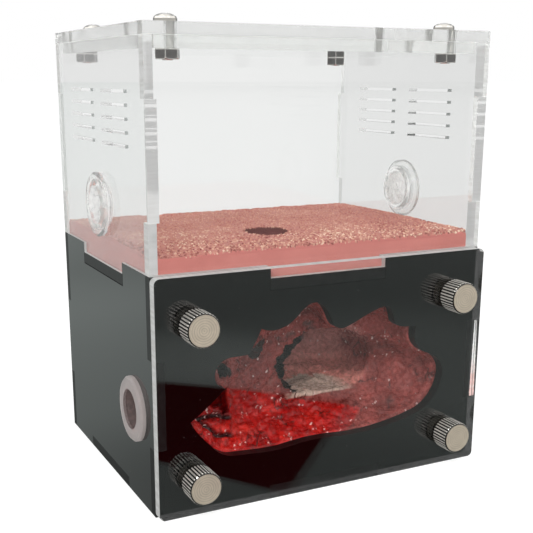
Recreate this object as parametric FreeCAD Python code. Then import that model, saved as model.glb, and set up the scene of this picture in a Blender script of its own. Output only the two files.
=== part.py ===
import FreeCAD, Part
import math
import os

# Two-storey ant habitat, modelled at real size in millimetres.
# A black acrylic nest box holds a cast gypsum block with a carved cave. A clear
# window is clamped over the cave by four knurled nuts. A clear acrylic arena with
# a gypsum floor stands on the nest box, under a lift-off lid.
# Frame: origin at the centre of the nest's underside, +Z up, the window faces -Y.

os.makedirs("parts", exist_ok=True)

# ---------------------------------------------------------------- driving dimensions

WIDTH = 100.0               # outside of the walls, left to right
DEPTH = 77.0                # outside of the walls, front to back
SHEET = 3.0                 # every acrylic sheet

NEST_HEIGHT = 63.5          # underside to the top edge of the black walls
ARENA_HEIGHT = 56.5         # clear walls, above the black ones
FLOOR_DROP = 3.0            # arena walls' tabs reach this far into the nest's walls

TAB_LENGTH = 35.0           # floor and roof tabs through the middle of each wall
NEST_FINGER = 23.5          # middle finger of a nest corner, cut on the side walls
NEST_FINGER_MID = 30.25     # its middle, above the underside
ARENA_FINGER = 29.0         # middle finger of an arena corner, cut on the side walls
ARENA_FINGER_MID = 27.5     # its middle, above the black walls

SHAFT_D = 13.0              # ant shaft from the arena down to the cave
SHAFT_X = -6.0
SHAFT_FROM_FRONT = 26.0     # its axis, behind the front face of the walls
SLAB_HEIGHT = 6.4           # gypsum floor of the arena
SAND_HEIGHT = 0.9           # coat of grains on it, at its edges
SAND_CROWN = 0.8            # extra height of the coat's middle

PORT_D = 14.0               # tube ports in the side walls
ARENA_PORT_RISE = 9.8       # port axes above the top of the slab
NEST_PORT_DROP = 4.5        # nest port's axis below the cave's centre
NEST_PORT_FROM_FRONT = 14.0
PASSAGE_D = 10.0            # bore from the nest's port to the cave

PLUG_PLAY = 0.1             # radial play of a plug in its port
PLUG_FLANGE_D = 17.6
PLUG_FLANGE = 1.5
PLUG_BEVEL = 0.6
PLUG_REACH = 4.0            # from under the flange to the plug's inner end
PLUG_WALL = 1.7
PLUG_FLOOR = 1.2

SLIT_ROWS = 5               # vent slits of one column
SLIT_PITCH = 3.35
SLIT_LENGTH = 19.0
SLIT_WIDTH = 0.8
SLIT_TOP = 12.9             # top row, below the walls' top edge
SLIT_OFFSET = 14.0          # middle of a column, from the middle of the wall

STUD_D = 3.0                # M3 throughout
STUD_INSET = 10.5           # stud axes from the nest's sides
STUD_LOW = 9.5
STUD_DROP = 12.5            # upper stud axes below the top edge of the black walls
STUD_HOLE_PLAY = 0.3        # radial play of a stud in the window
STUD_HEAD = 2.0
HEX_AF = 5.5                # across flats of stud heads and lid nuts
HEAD_PLAY = 0.2             # gypsum pocket around a stud head

WINDOW_CORNER_R = 1.5
THUMB_D = 9.0
THUMB_LENGTH = 6.0
THUMB_RIDGES = 32
THUMB_GROOVE = 0.3          # depth of the knurl
THUMB_BEVEL = 0.45
THUMB_BORE = 4.6            # depth of the blind bore
THUMB_PLAY = 0.05           # radial play on the stud

PLATE_PLAY = 0.5            # locating plate inside the arena's walls
LID_SCREW_INSET = 9.0       # screw axes from the lid's edges
LID_HOLE_PLAY = 0.1         # radial play of a screw in the lid and its nut
SCREW_HEAD_D = 5.8
SCREW_HEAD = 2.3
SCREW_RIM = 1.0             # straight part of the head, under its dome
RECESS_LENGTH = 2.9         # cross recess
RECESS_WIDTH = 0.7
RECESS_DEPTH = 1.3
NUT_HEIGHT = 2.4
NUT_CHAMFER = 0.35
SCREW_END = 0.2             # screw stands out of its nut
SCREW_POINT = 0.3           # chamfer on the screw's end

CUT = 1.0                   # cutters run this far past the faces they cut

CAVE_X = 4.0                # centre of the cave's mouth
CAVE_DROP = 33.5            # its depth below the top edge of the black walls
# Cave mouth in the black front, as x and z of the points of six curves between its
# sharp corners, anticlockwise from the upper left tip and measured from its centre.
CAVE_RUNS = [
    [(-24.1, 17.4), (-26.0, 13.8), (-27.7, 11.0)],
    [(-27.7, 11.0), (-31.3, 10.8), (-35.3, 10.0), (-37.5, 6.6), (-36.6, 3.9), (-34.5, 2.6)],
    [(-34.5, 2.6), (-38.1, -0.5), (-41.6, -3.2), (-44.3, -5.1)],
    [(-44.3, -5.1), (-42.9, -7.6), (-39.2, -12.0), (-35.0, -15.6), (-29.1, -16.6), (-19.5, -17.0),
     (-10.2, -16.1), (4.9, -16.5), (21.3, -14.8), (30.2, -11.4), (34.0, -6.0), (34.3, -0.1),
     (30.2, 3.6), (25.8, 6.2), (24.4, 9.2), (24.9, 12.7)],
    [(24.9, 12.7), (21.2, 12.8), (17.8, 14.0), (16.8, 16.5), (15.3, 19.2), (12.2, 19.1),
     (8.4, 17.8), (4.4, 16.0), (1.0, 14.8)],
    [(1.0, 14.8), (-2.0, 15.6), (-3.5, 18.4), (-5.2, 21.2), (-8.2, 22.9), (-11.6, 21.3),
     (-15.0, 18.4), (-18.2, 16.9), (-24.1, 17.4)],
]
MOUTH_CUT = 0.1             # the mask is cut in arcs that stray this far from the curves
# Open front of the cave, scraped in short flats, which narrows towards its end.
SCRAPE = 0.12               # the flats stray this far from the mouth's curves
HOLLOW_DEPTH = 11.0         # behind the mask
HOLLOW_TAPER = 0.7          # size of the outline there
HOLLOW_SHIFT = (3.0, 1.4)   # x and z that it has moved by
# Hollows and tunnels: x from the cave's centre, depth behind the mask, z from the centre.
CHAMBER_AT = (3.5, 15.0, 1.5)
CHAMBER_RADIUS = 17.0
CHAMBER_HALF_HEIGHT = 10.0
CHAMBER_BANDS = 6           # scraped bands from its floor to its ceiling
SHAFT_FOOT = 4.0            # the shaft ends this far below the chamber's middle
PASSAGE_END = -28.0         # x of the port's passage where it meets the cave
TUNNEL_D = 7.0
TUNNELS = [
    ((-32.0, 2.0, 5.6), (-36.0, 14.0, 8.0)),
    ((-23.0, 2.0, 12.6), (-27.0, 14.0, 15.0)),
]

# ---------------------------------------------------------------- derived places

HALF_W = WIDTH / 2
HALF_D = DEPTH / 2
FRONT = -HALF_D                         # front face of the walls
IN_W = HALF_W - SHEET                   # inner faces of the walls
IN_D = HALF_D - SHEET
ROOF_TOP = NEST_HEIGHT - FLOOR_DROP
ROOF_LOW = ROOF_TOP - SHEET
ARENA_TOP = NEST_HEIGHT + ARENA_HEIGHT
SLAB_TOP = ROOF_TOP + SLAB_HEIGHT
LID_TOP = ARENA_TOP + SHEET
PLATE_LOW = ARENA_TOP - SHEET
MASK_BACK = FRONT + SHEET
WINDOW_FRONT = FRONT - SHEET
SHAFT_Y = FRONT + SHAFT_FROM_FRONT
NEST_PORT_Y = FRONT + NEST_PORT_FROM_FRONT
CAVE_Z = NEST_HEIGHT - CAVE_DROP
NEST_PORT_Z = CAVE_Z - NEST_PORT_DROP
ARENA_PORT_Z = SLAB_TOP + ARENA_PORT_RISE
HALF_TAB = TAB_LENGTH / 2
STUD_X = HALF_W - STUD_INSET
STUD_HIGH = NEST_HEIGHT - STUD_DROP
STUD_PLACES = {
    "upper_left": (-STUD_X, STUD_HIGH),
    "upper_right": (STUD_X, STUD_HIGH),
    "lower_left": (-STUD_X, STUD_LOW),
    "lower_right": (STUD_X, STUD_LOW),
}
SCREW_X = HALF_W - LID_SCREW_INSET
SCREW_Y = HALF_D - LID_SCREW_INSET
SCREW_PLACES = {
    "front_left": (-SCREW_X, -SCREW_Y),
    "front_right": (SCREW_X, -SCREW_Y),
    "back_left": (-SCREW_X, SCREW_Y),
    "back_right": (SCREW_X, SCREW_Y),
}

Y_AXIS = FreeCAD.Vector(0, 1, 0)
Z_AXIS = FreeCAD.Vector(0, 0, 1)


# ---------------------------------------------------------------- shape helpers

def box(low, high):
    size = [b - a for a, b in zip(low, high)]
    return Part.makeBox(size[0], size[1], size[2], FreeCAD.Vector(*low))


def rod(diameter, start, end):
    """Round bar between two points."""
    a = FreeCAD.Vector(*start)
    b = FreeCAD.Vector(*end)
    return Part.makeCylinder(diameter / 2, (b - a).Length, a, b - a)


def turned(profile, at, direction):
    """Solid of revolution: profile holds (radius, height) corners, height runs along direction."""
    points = [FreeCAD.Vector(r, 0, h) for r, h in profile]
    face = Part.Face(Part.makePolygon(points + points[:1]))
    solid = face.revolve(FreeCAD.Vector(0, 0, 0), Z_AXIS, 360)
    turn = FreeCAD.Rotation(Z_AXIS, FreeCAD.Vector(*direction))
    solid.Placement = FreeCAD.Placement(FreeCAD.Vector(*at), turn)
    return solid


def prism(corners, height, at, direction):
    """Straight prism over a polygon given in its own flat frame, raised along direction."""
    points = [FreeCAD.Vector(x, y, 0) for x, y in corners]
    solid = Part.Face(Part.makePolygon(points + points[:1])).extrude(Z_AXIS * height)
    turn = FreeCAD.Rotation(Z_AXIS, FreeCAD.Vector(*direction))
    solid.Placement = FreeCAD.Placement(FreeCAD.Vector(*at), turn)
    return solid


def hexagon(across_flats):
    radius = across_flats / 2 / math.cos(math.pi / 6)
    angles = [math.radians(60 * i) for i in range(6)]
    return [(radius * math.cos(a), radius * math.sin(a)) for a in angles]


def lens(centre, radius, half_height):
    """Round flattened hollow, turned in bands as a scraper leaves it."""
    tilts = [math.pi * (i / CHAMBER_BANDS - 0.5) for i in range(CHAMBER_BANDS + 1)]
    corners = [(radius * math.cos(t), half_height * math.sin(t)) for t in tilts[1:-1]]
    return turned([(0, -half_height)] + corners + [(0, half_height)], centre, (0, 0, 1))


def save(node, shape):
    """Write one node, after checking that it is closed and whole."""
    shape = shape.removeSplitter()
    if not shape.isValid() or not shape.Solids:
        raise ValueError(node + " is not a valid solid")
    shape.exportStep("parts/" + node + ".step")
    print("%-22s solids %d  volume %9.1f mm3" % (node, len(shape.Solids), shape.Volume))


# ---------------------------------------------------------------- acrylic walls

def finger_band(middle, length):
    return (middle - length / 2, middle + length / 2)


def side_wall(side, low, high, band):
    """Side wall whose vertical edges keep only their middle finger."""
    inner, outer = sorted((side * IN_W, side * HALF_W))
    wall = box((inner, -HALF_D, low), (outer, HALF_D, high))
    for end in (-1, 1):
        y0, y1 = sorted((end * IN_D, end * HALF_D))
        wall = wall.cut(box((inner, y0, low), (outer, y1, band[0])))
        wall = wall.cut(box((inner, y0, band[1]), (outer, y1, high)))
    return wall


def cross_wall(side, low, high, band):
    """Front or back wall, with a gap in each vertical edge for the side wall's finger."""
    inner, outer = sorted((side * IN_D, side * HALF_D))
    wall = box((-HALF_W, inner, low), (HALF_W, outer, high))
    for end in (-1, 1):
        x0, x1 = sorted((end * IN_W, end * HALF_W))
        wall = wall.cut(box((x0, inner, band[0]), (x1, outer, band[1])))
    return wall


def tab_on_side(side, low, high):
    inner, outer = sorted((side * IN_W, side * HALF_W))
    return box((inner, -HALF_TAB, low), (outer, HALF_TAB, high))


def tab_on_cross(side, low, high):
    inner, outer = sorted((side * IN_D, side * HALF_D))
    return box((-HALF_TAB, inner, low), (HALF_TAB, outer, high))


def floor_sheet(low):
    """Sheet that lies between the walls, with a tab through each of them."""
    sheet = box((-IN_W, -IN_D, low), (IN_W, IN_D, low + SHEET))
    for side in (-1, 1):
        sheet = sheet.fuse(tab_on_side(side, low, low + SHEET))
        sheet = sheet.fuse(tab_on_cross(side, low, low + SHEET))
    return sheet


def port_cut(side, y, z):
    return rod(PORT_D, (side * (IN_W - CUT), y, z), (side * (HALF_W + CUT), y, z))


# ---------------------------------------------------------------- nest box

def nest_band():
    return finger_band(NEST_FINGER_MID, NEST_FINGER)


def nest_side(side):
    wall = side_wall(side, 0, NEST_HEIGHT, nest_band())
    wall = wall.cut(tab_on_side(side, 0, SHEET))
    wall = wall.cut(tab_on_side(side, ROOF_LOW, NEST_HEIGHT))
    if side < 0:
        wall = wall.cut(port_cut(side, NEST_PORT_Y, NEST_PORT_Z))
    return wall


def nest_cross(side):
    wall = cross_wall(side, 0, NEST_HEIGHT, nest_band())
    wall = wall.cut(tab_on_cross(side, 0, SHEET))
    return wall.cut(tab_on_cross(side, ROOF_LOW, NEST_HEIGHT))


def in_cave(place):
    """Point of the cave given as x and z from its centre and depth behind the mask."""
    return FreeCAD.Vector(CAVE_X + place[0], MASK_BACK + place[1], CAVE_Z + place[2])


def mouth_curves(depth):
    """Curves of the cave's outline, at a depth behind the mask."""
    curves = []
    for run in CAVE_RUNS:
        curve = Part.BSplineCurve()
        curve.interpolate([in_cave((x, depth, z)) for x, z in run])
        curves.append(curve)
    return curves


def scraped_outline(depth, scale=1.0, shift=(0.0, 0.0)):
    """The outline in short flats, scaled about the cave's centre, then moved in x and z."""
    corners = []
    for curve in mouth_curves(depth):
        corners += curve.discretize(QuasiDeflection=SCRAPE)[:-1]
    centre = in_cave((0, depth, 0))
    moved = centre + FreeCAD.Vector(shift[0], 0, shift[1])
    corners = [moved + (corner - centre) * scale for corner in corners]
    return Part.makePolygon(corners + corners[:1])


def front_mask():
    arcs = []
    for curve in mouth_curves(-SHEET - CUT):
        arcs += [arc.toShape() for arc in curve.toBiArcs(MOUTH_CUT)]
    mouth = Part.Face(Part.Wire(arcs)).extrude(Y_AXIS * (SHEET + 2 * CUT))
    mask = nest_cross(-1).cut(mouth)
    for x, z in STUD_PLACES.values():
        mask = mask.cut(rod(STUD_D, (x, FRONT - CUT, z), (x, MASK_BACK + CUT, z)))
    return mask


def ant_shaft(low, high):
    return rod(SHAFT_D, (SHAFT_X, SHAFT_Y, low), (SHAFT_X, SHAFT_Y, high))


def cave_cavity():
    """Carved room: open front, deep chamber and blind tunnels."""
    mouth = Part.Face(scraped_outline(-CUT)).extrude(Y_AXIS * CUT)
    ends = [scraped_outline(0), scraped_outline(HOLLOW_DEPTH, HOLLOW_TAPER, HOLLOW_SHIFT)]
    cavity = mouth.fuse(Part.makeLoft(ends, True, True))
    cavity = cavity.fuse(lens(in_cave(CHAMBER_AT), CHAMBER_RADIUS, CHAMBER_HALF_HEIGHT))
    for start, end in TUNNELS:
        cavity = cavity.fuse(rod(TUNNEL_D, in_cave(start), in_cave(end)))
    return cavity


def stud_head(x, z, play=0.0):
    flat = prism(hexagon(HEX_AF + 2 * play), STUD_HEAD + play, (0, 0, 0), (0, 1, 0))
    flat.translate(FreeCAD.Vector(x, MASK_BACK, z))
    return flat


def gypsum_nest():
    block = box((-IN_W, -IN_D, SHEET), (IN_W, IN_D, ROOF_LOW))
    block = block.cut(cave_cavity())
    block = block.cut(ant_shaft(in_cave(CHAMBER_AT)[2] - SHAFT_FOOT, ROOF_LOW + CUT))
    port = (-HALF_W, NEST_PORT_Y, NEST_PORT_Z)
    plug_room = -IN_W + PLUG_REACH
    block = block.cut(rod(PORT_D, port, (plug_room, NEST_PORT_Y, NEST_PORT_Z)))
    block = block.cut(rod(PASSAGE_D, port, (CAVE_X + PASSAGE_END, NEST_PORT_Y, NEST_PORT_Z)))
    for x, z in STUD_PLACES.values():
        block = block.cut(stud_head(x, z, HEAD_PLAY))
    return block


# ---------------------------------------------------------------- window and its fasteners

def window():
    sheet = box((-HALF_W, WINDOW_FRONT, 0), (HALF_W, FRONT, NEST_HEIGHT))
    corners = [e for e in sheet.Edges if abs(e.tangentAt(e.FirstParameter).y) > 0.9]
    sheet = sheet.makeFillet(WINDOW_CORNER_R, corners)
    for x, z in STUD_PLACES.values():
        hole = STUD_D + 2 * STUD_HOLE_PLAY
        sheet = sheet.cut(rod(hole, (x, WINDOW_FRONT - CUT, z), (x, FRONT + CUT, z)))
    return sheet


def stud(x, z):
    """Screw through the mask: its head lies in the gypsum, its end in the thumb nut."""
    tip = WINDOW_FRONT - THUMB_BORE + HEAD_PLAY
    return rod(STUD_D, (x, tip, z), (x, MASK_BACK, z)).fuse(stud_head(x, z))


def knurl_outline():
    """Star polygon of a straight knurl."""
    points = []
    for i in range(2 * THUMB_RIDGES):
        radius = THUMB_D / 2 - (THUMB_GROOVE if i % 2 else 0.0)
        angle = math.pi * i / THUMB_RIDGES
        points.append((radius * math.cos(angle), radius * math.sin(angle)))
    return points


def thumb_profile():
    """Half section of the nut: bevelled outside, blind bore."""
    rim = THUMB_D / 2
    bore = STUD_D / 2 + THUMB_PLAY
    corners = [(bore, 0), (rim - THUMB_BEVEL, 0), (rim, THUMB_BEVEL)]
    corners += [(rim, THUMB_LENGTH - THUMB_BEVEL), (rim - THUMB_BEVEL, THUMB_LENGTH)]
    corners += [(0, THUMB_LENGTH), (0, THUMB_BORE), (bore, THUMB_BORE)]
    return corners


def thumb_nut(x, z):
    at = (x, WINDOW_FRONT, z)
    away = (0, -1, 0)
    return prism(knurl_outline(), THUMB_LENGTH, at, away).common(turned(thumb_profile(), at, away))


# ---------------------------------------------------------------- arena

def arena_band():
    return finger_band(NEST_HEIGHT + ARENA_FINGER_MID, ARENA_FINGER)


def vent_slits(side):
    """Two columns of slits through one side wall."""
    slits = []
    for column in (-SLIT_OFFSET, SLIT_OFFSET):
        for row in range(SLIT_ROWS):
            z = ARENA_TOP - SLIT_TOP - row * SLIT_PITCH
            x0, x1 = sorted((side * (IN_W - CUT), side * (HALF_W + CUT)))
            low = (x0, column - SLIT_LENGTH / 2, z - SLIT_WIDTH / 2)
            high = (x1, column + SLIT_LENGTH / 2, z + SLIT_WIDTH / 2)
            slits.append(box(low, high))
    return slits


def arena_side(side):
    wall = side_wall(side, NEST_HEIGHT, ARENA_TOP, arena_band())
    wall = wall.fuse(tab_on_side(side, ROOF_TOP, NEST_HEIGHT))
    wall = wall.cut(port_cut(side, 0, ARENA_PORT_Z))
    return wall.cut(Part.makeCompound(vent_slits(side)))


def arena_cross(side):
    wall = cross_wall(side, NEST_HEIGHT, ARENA_TOP, arena_band())
    return wall.fuse(tab_on_cross(side, ROOF_TOP, NEST_HEIGHT))


def floor_slab():
    slab = box((-IN_W, -IN_D, ROOF_TOP), (IN_W, IN_D, SLAB_TOP))
    return slab.cut(ant_shaft(ROOF_TOP - CUT, SLAB_TOP + CUT))


def sand_layer():
    """Coat of grains on the slab, crowned a little from front to back."""
    coat_top = SLAB_TOP + SAND_HEIGHT
    edge = box((-IN_W, -IN_D, SLAB_TOP), (IN_W, IN_D, coat_top))
    crown_radius = (IN_D ** 2 + SAND_CROWN ** 2) / (2 * SAND_CROWN)
    axis_z = coat_top + SAND_CROWN - crown_radius
    drum = rod(2 * crown_radius, (-IN_W, 0, axis_z), (IN_W, 0, axis_z))
    crown = drum.common(box((-IN_W, -IN_D, SLAB_TOP), (IN_W, IN_D, coat_top + 2 * SAND_CROWN)))
    return edge.fuse(crown).cut(ant_shaft(SLAB_TOP - CUT, coat_top + 2 * SAND_CROWN))


def port_plug(side, y, z):
    """Flanged cup that closes a tube port, open to the outside."""
    outside = PORT_D / 2 - PLUG_PLAY
    inside = outside - PLUG_WALL
    lip = PLUG_FLANGE_D / 2
    reach = -PLUG_REACH
    lead = PLUG_WALL / 2
    corners = [(0, reach), (outside - lead, reach), (outside, reach + lead), (outside, 0)]
    corners += [(lip, 0), (lip, PLUG_FLANGE - PLUG_BEVEL), (lip - PLUG_BEVEL, PLUG_FLANGE)]
    corners += [(inside, PLUG_FLANGE), (inside, reach + PLUG_FLOOR), (0, reach + PLUG_FLOOR)]
    return turned(corners, (side * HALF_W, y, z), (side, 0, 0))


# ---------------------------------------------------------------- lid

def screw_holes(low, high):
    hole = STUD_D + 2 * LID_HOLE_PLAY
    holes = [rod(hole, (x, y, low - CUT), (x, y, high + CUT)) for x, y in SCREW_PLACES.values()]
    return Part.makeCompound(holes)


def lid_plate():
    sheet = box((-HALF_W, -HALF_D, ARENA_TOP), (HALF_W, HALF_D, LID_TOP))
    return sheet.cut(screw_holes(ARENA_TOP, LID_TOP))


def locating_plate():
    x = IN_W - PLATE_PLAY
    y = IN_D - PLATE_PLAY
    return box((-x, -y, PLATE_LOW), (x, y, ARENA_TOP)).cut(screw_holes(PLATE_LOW, ARENA_TOP))


def lid_screw(x, y):
    """Pan head screw, with a domed head and a cross recess."""
    rim = SCREW_HEAD_D / 2
    length = LID_TOP - PLATE_LOW + NUT_HEIGHT + SCREW_END
    dome_steps = 4
    shank = STUD_D / 2
    corners = [(0, -length), (shank - SCREW_POINT, -length), (shank, SCREW_POINT - length)]
    corners += [(shank, 0), (rim, 0)]
    for i in range(dome_steps):
        a = math.pi / 2 * i / dome_steps
        corners.append((rim * math.cos(a), SCREW_RIM + (SCREW_HEAD - SCREW_RIM) * math.sin(a)))
    corners.append((0, SCREW_HEAD))
    screw = turned(corners, (x, y, LID_TOP), (0, 0, 1))
    floor = LID_TOP + SCREW_HEAD - RECESS_DEPTH
    long = RECESS_LENGTH / 2
    thin = RECESS_WIDTH / 2
    for dx, dy in ((long, thin), (thin, long)):
        screw = screw.cut(box((x - dx, y - dy, floor), (x + dx, y + dy, LID_TOP + SCREW_HEAD + CUT)))
    return screw


def lid_nut(x, y):
    """Hexagon nut under the locating plate, its corners chamfered below."""
    across = HEX_AF / 2 / math.cos(math.pi / 6)
    bore = STUD_D / 2 + LID_HOLE_PLAY
    low = PLATE_LOW - NUT_HEIGHT
    cone = [(bore, 0), (across - NUT_CHAMFER, 0), (across, NUT_CHAMFER)]
    cone += [(across, NUT_HEIGHT), (bore, NUT_HEIGHT)]
    hexagon_body = prism(hexagon(HEX_AF), NUT_HEIGHT, (x, y, low), (0, 0, 1))
    return hexagon_body.common(turned(cone, (x, y, low), (0, 0, 1)))


# ---------------------------------------------------------------- nodes

def build():
    save("nest_base_panel", floor_sheet(0))
    save("nest_left_panel", nest_side(-1))
    save("nest_right_panel", nest_side(1))
    save("nest_back_panel", nest_cross(1))
    save("nest_front_mask", front_mask())
    save("nest_roof_panel", floor_sheet(ROOF_LOW).cut(ant_shaft(ROOF_LOW - CUT, ROOF_TOP + CUT)))
    save("gypsum_nest_block", gypsum_nest())
    save("front_window", window())
    for place, (x, z) in STUD_PLACES.items():
        save("window_stud_" + place, stud(x, z))
        save("thumb_nut_" + place, thumb_nut(x, z))
    save("nest_port_plug", port_plug(-1, NEST_PORT_Y, NEST_PORT_Z))
    save("arena_floor_slab", floor_slab())
    save("sand_layer", sand_layer())
    save("arena_left_wall", arena_side(-1))
    save("arena_right_wall", arena_side(1))
    save("arena_front_wall", arena_cross(-1))
    save("arena_back_wall", arena_cross(1))
    save("arena_left_plug", port_plug(-1, 0, ARENA_PORT_Z))
    save("arena_right_plug", port_plug(1, 0, ARENA_PORT_Z))
    save("lid_plate", lid_plate())
    save("lid_locating_plate", locating_plate())
    for place, (x, y) in SCREW_PLACES.items():
        save("lid_screw_" + place, lid_screw(x, y))
        save("lid_nut_" + place, lid_nut(x, y))


build()
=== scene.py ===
import itertools
import math

import bpy
import numpy as np
from mathutils import Matrix, Vector, kdtree, noise


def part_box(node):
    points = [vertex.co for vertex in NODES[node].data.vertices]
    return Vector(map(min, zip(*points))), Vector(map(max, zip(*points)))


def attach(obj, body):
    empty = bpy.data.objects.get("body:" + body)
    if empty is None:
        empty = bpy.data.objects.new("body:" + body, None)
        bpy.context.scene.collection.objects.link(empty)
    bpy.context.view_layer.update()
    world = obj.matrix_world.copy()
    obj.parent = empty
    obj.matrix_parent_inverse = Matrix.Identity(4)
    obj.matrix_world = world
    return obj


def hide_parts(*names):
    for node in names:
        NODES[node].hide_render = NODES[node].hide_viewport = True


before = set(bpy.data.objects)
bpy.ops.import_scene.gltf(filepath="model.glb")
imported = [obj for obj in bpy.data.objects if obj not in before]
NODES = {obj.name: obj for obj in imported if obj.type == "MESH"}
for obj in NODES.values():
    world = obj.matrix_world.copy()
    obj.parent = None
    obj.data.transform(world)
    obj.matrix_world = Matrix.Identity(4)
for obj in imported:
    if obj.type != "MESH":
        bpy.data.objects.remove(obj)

# Looks of an ant habitat: a clear arena with a floor of sand on a black nest box, whose
# carved gypsum cave shows through a clear window on four knurled nuts.

MM = 0.001
X, Y, Z = 0, 1, 2
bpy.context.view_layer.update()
STUD_PLACES = ("upper_left", "upper_right", "lower_left", "lower_right")
SCREW_PLACES = ("front_left", "front_right", "back_left", "back_right")
# Black sheets, and clear ones apart from the window: those across X, across Y and across Z.
BLACK_PANELS = (
    ("nest_left_panel", "nest_right_panel"),
    ("nest_front_mask", "nest_back_panel"),
    ("nest_base_panel", "nest_roof_panel"),
)
CLEAR_SHEETS = (
    ("arena_left_wall", "arena_right_wall"),
    ("arena_front_wall", "arena_back_wall"),
    ("lid_plate", "lid_locating_plate"),
)


def new_object(name, data):
    made = bpy.data.objects.new(name, data)
    bpy.context.scene.collection.objects.link(made)
    return made


# ---------------- camera

PHOTO_SIZE = 533.0  # pixels, square
FOCAL = 935.1  # pixels
CENTRE_ROW = 320.0  # the lens looks at this row of the picture
EYE = Vector((-124.63, -249.03, 110.38)) * MM
YAW, PITCH, ROLL = (math.radians(a) for a in (26.830, 14.514, 0.234))
SENSOR = 36.0  # millimetres


def make_camera():
    data = bpy.data.cameras.new("camera")
    data.sensor_width = SENSOR
    data.lens = FOCAL / PHOTO_SIZE * SENSOR
    data.shift_y = CENTRE_ROW / PHOTO_SIZE - 0.5
    data.clip_start = 0.01
    data.clip_end = 60.0
    ahead = Vector((math.sin(YAW) * math.cos(PITCH), math.cos(YAW) * math.cos(PITCH), -math.sin(PITCH)))
    right = Vector((math.cos(YAW), -math.sin(YAW), 0.0))
    above = right.cross(ahead)
    tilted_right = right * math.cos(ROLL) + above * math.sin(ROLL)
    tilted_up = above * math.cos(ROLL) - right * math.sin(ROLL)
    turn = Matrix((tilted_right, tilted_up, -ahead)).transposed()
    camera = new_object("camera", data)
    camera.matrix_world = Matrix.Translation(EYE) @ turn.to_4x4()
    bpy.context.scene.camera = camera


# ---------------- shader helpers

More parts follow.
